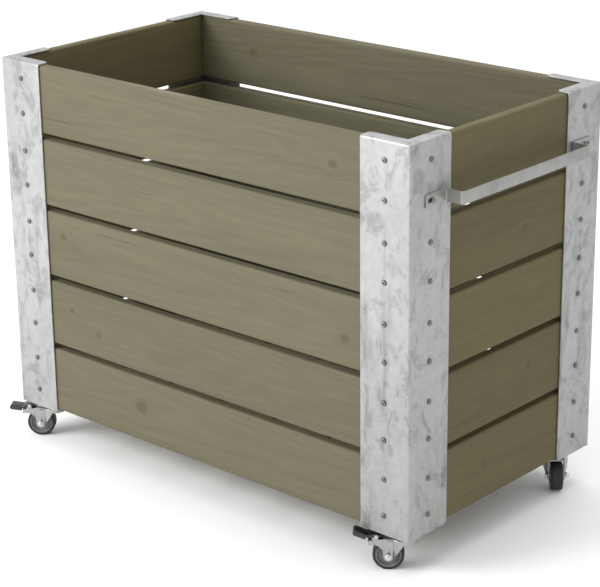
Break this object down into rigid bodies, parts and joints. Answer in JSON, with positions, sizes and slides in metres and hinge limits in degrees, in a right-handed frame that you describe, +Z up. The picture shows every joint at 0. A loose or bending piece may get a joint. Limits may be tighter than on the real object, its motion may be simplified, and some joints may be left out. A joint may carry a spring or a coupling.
{
  "type": "garden cart",
  "caption": "Open rectangular garden cart of spaced wooden boards between folded steel corner posts, with a flat push handle at one end and swivel castors below.",
  "frame": {"origin": "on the ground under the centre of the whole cart, castors and handle included", "axes": "+X along the box towards the end that carries the handle, +Z up, front long side facing -Y"},
  "size_m": [0.9537, 0.515, 0.699],
  "materials": {
    "galvanised_steel": "mottled hot-dip zinc, semi-matte",
    "stained_wood": "olive grey stain, matte",
    "zinc_screw": "zinc plated",
    "handle_steel": "galvanised, satin",
    "castor_zinc": "bright zinc plated",
    "bearing_steel": "polished",
    "grey_plastic": "moulded grey polypropylene",
    "tyre_rubber": "black rubber",
    "black_plastic": "moulded black nylon"
  },
  "bodies": {
    "cart": {"post_front_left": "galvanised_steel", "post_front_right": "galvanised_steel", "post_back_right": "galvanised_steel", "post_back_left": "galvanised_steel", "front_board_1": "stained_wood", "front_board_2": "stained_wood", "front_board_3": "stained_wood", "front_board_4": "stained_wood", "front_board_5": "stained_wood", "back_board_1": "stained_wood", "back_board_2": "stained_wood", "back_board_3": "stained_wood", "back_board_4": "stained_wood", "back_board_5": "stained_wood", "left_board_1": "stained_wood", "left_board_2": "stained_wood", "left_board_3": "stained_wood", "left_board_4": "stained_wood", "left_board_5": "stained_wood", "right_board_1": "stained_wood", "right_board_2": "stained_wood", "right_board_3": "stained_wood", "right_board_4": "stained_wood", "right_board_5": "stained_wood", "post_screws": "zinc_screw", "handle": "handle_steel", "floor_cleat_front": "stained_wood", "floor_cleat_back": "stained_wood", "floor_slat_1": "stained_wood", "floor_slat_2": "stained_wood", "floor_slat_3": "stained_wood", "floor_slat_4": "stained_wood", "floor_slat_5": "stained_wood", "floor_slat_6": "stained_wood", "floor_slat_7": "stained_wood", "floor_screws": "zinc_screw", "castor_heads": "castor_zinc", "castor_bolts": "zinc_screw", "castor_nuts": "zinc_screw", "castor_balls": "bearing_steel"},
    "fork_front_left": {"fork_front_left": "castor_zinc", "axle_front_left": "bearing_steel"},
    "wheel_front_left": {"rim_front_left": "grey_plastic", "tyre_front_left": "tyre_rubber"},
    "fork_front_right": {"fork_front_right": "castor_zinc", "axle_front_right": "bearing_steel"},
    "wheel_front_right": {"rim_front_right": "grey_plastic", "tyre_front_right": "tyre_rubber"},
    "fork_back_right": {"fork_back_right": "castor_zinc", "axle_back_right": "bearing_steel"},
    "wheel_back_right": {"rim_back_right": "grey_plastic", "tyre_back_right": "tyre_rubber"},
    "fork_back_left": {"fork_back_left": "castor_zinc", "axle_back_left": "bearing_steel"},
    "wheel_back_left": {"rim_back_left": "grey_plastic", "tyre_back_left": "tyre_rubber"},
    "brake_front_left": {"brake_lever_front_left": "black_plastic", "brake_pad_front_left": "black_plastic"},
    "brake_front_right": {"brake_lever_front_right": "black_plastic", "brake_pad_front_right": "black_plastic"}
  },
  "joints": [
    {"name": "swivel_front_left", "type": "hinge", "parent": "cart", "child": "fork_front_left", "pos_m": [-0.405, -0.204, 0.05], "axis": [0, 0, 1], "continuous": true},
    {"name": "wheel_spin_front_left", "type": "hinge", "parent": "fork_front_left", "child": "wheel_front_left", "pos_m": [-0.42391, -0.21878, 0.025], "axis": [0.6157, -0.788, 0], "continuous": true},
    {"name": "swivel_front_right", "type": "hinge", "parent": "cart", "child": "fork_front_right", "pos_m": [0.405, -0.204, 0.05], "axis": [0, 0, 1], "continuous": true},
    {"name": "wheel_spin_front_right", "type": "hinge", "parent": "fork_front_right", "child": "wheel_front_right", "pos_m": [0.38609, -0.21878, 0.025], "axis": [0.6157, -0.788, 0], "continuous": true},
    {"name": "swivel_back_right", "type": "hinge", "parent": "cart", "child": "fork_back_right", "pos_m": [0.405, 0.204, 0.05], "axis": [0, 0, 1], "continuous": true},
    {"name": "wheel_spin_back_right", "type": "hinge", "parent": "fork_back_right", "child": "wheel_back_right", "pos_m": [0.42075, 0.18589, 0.025], "axis": [0.7547, 0.6561, 0], "continuous": true},
    {"name": "swivel_back_left", "type": "hinge", "parent": "cart", "child": "fork_back_left", "pos_m": [-0.405, 0.204, 0.05], "axis": [0, 0, 1], "continuous": true},
    {"name": "wheel_spin_back_left", "type": "hinge", "parent": "fork_back_left", "child": "wheel_back_left", "pos_m": [-0.41121, 0.22718, 0.025], "axis": [-0.9659, -0.2588, 0], "continuous": true},
    {"name": "brake_release_front_left", "type": "hinge", "parent": "fork_front_left", "child": "brake_front_left", "pos_m": [-0.43888, -0.23047, 0.058], "axis": [-0.6157, 0.788, 0], "range_deg": [0, 14]},
    {"name": "brake_press_front_right", "type": "hinge", "parent": "fork_front_right", "child": "brake_front_right", "pos_m": [0.37112, -0.23047, 0.058], "axis": [0.6157, -0.788, 0], "range_deg": [0, 14]}
  ]
}
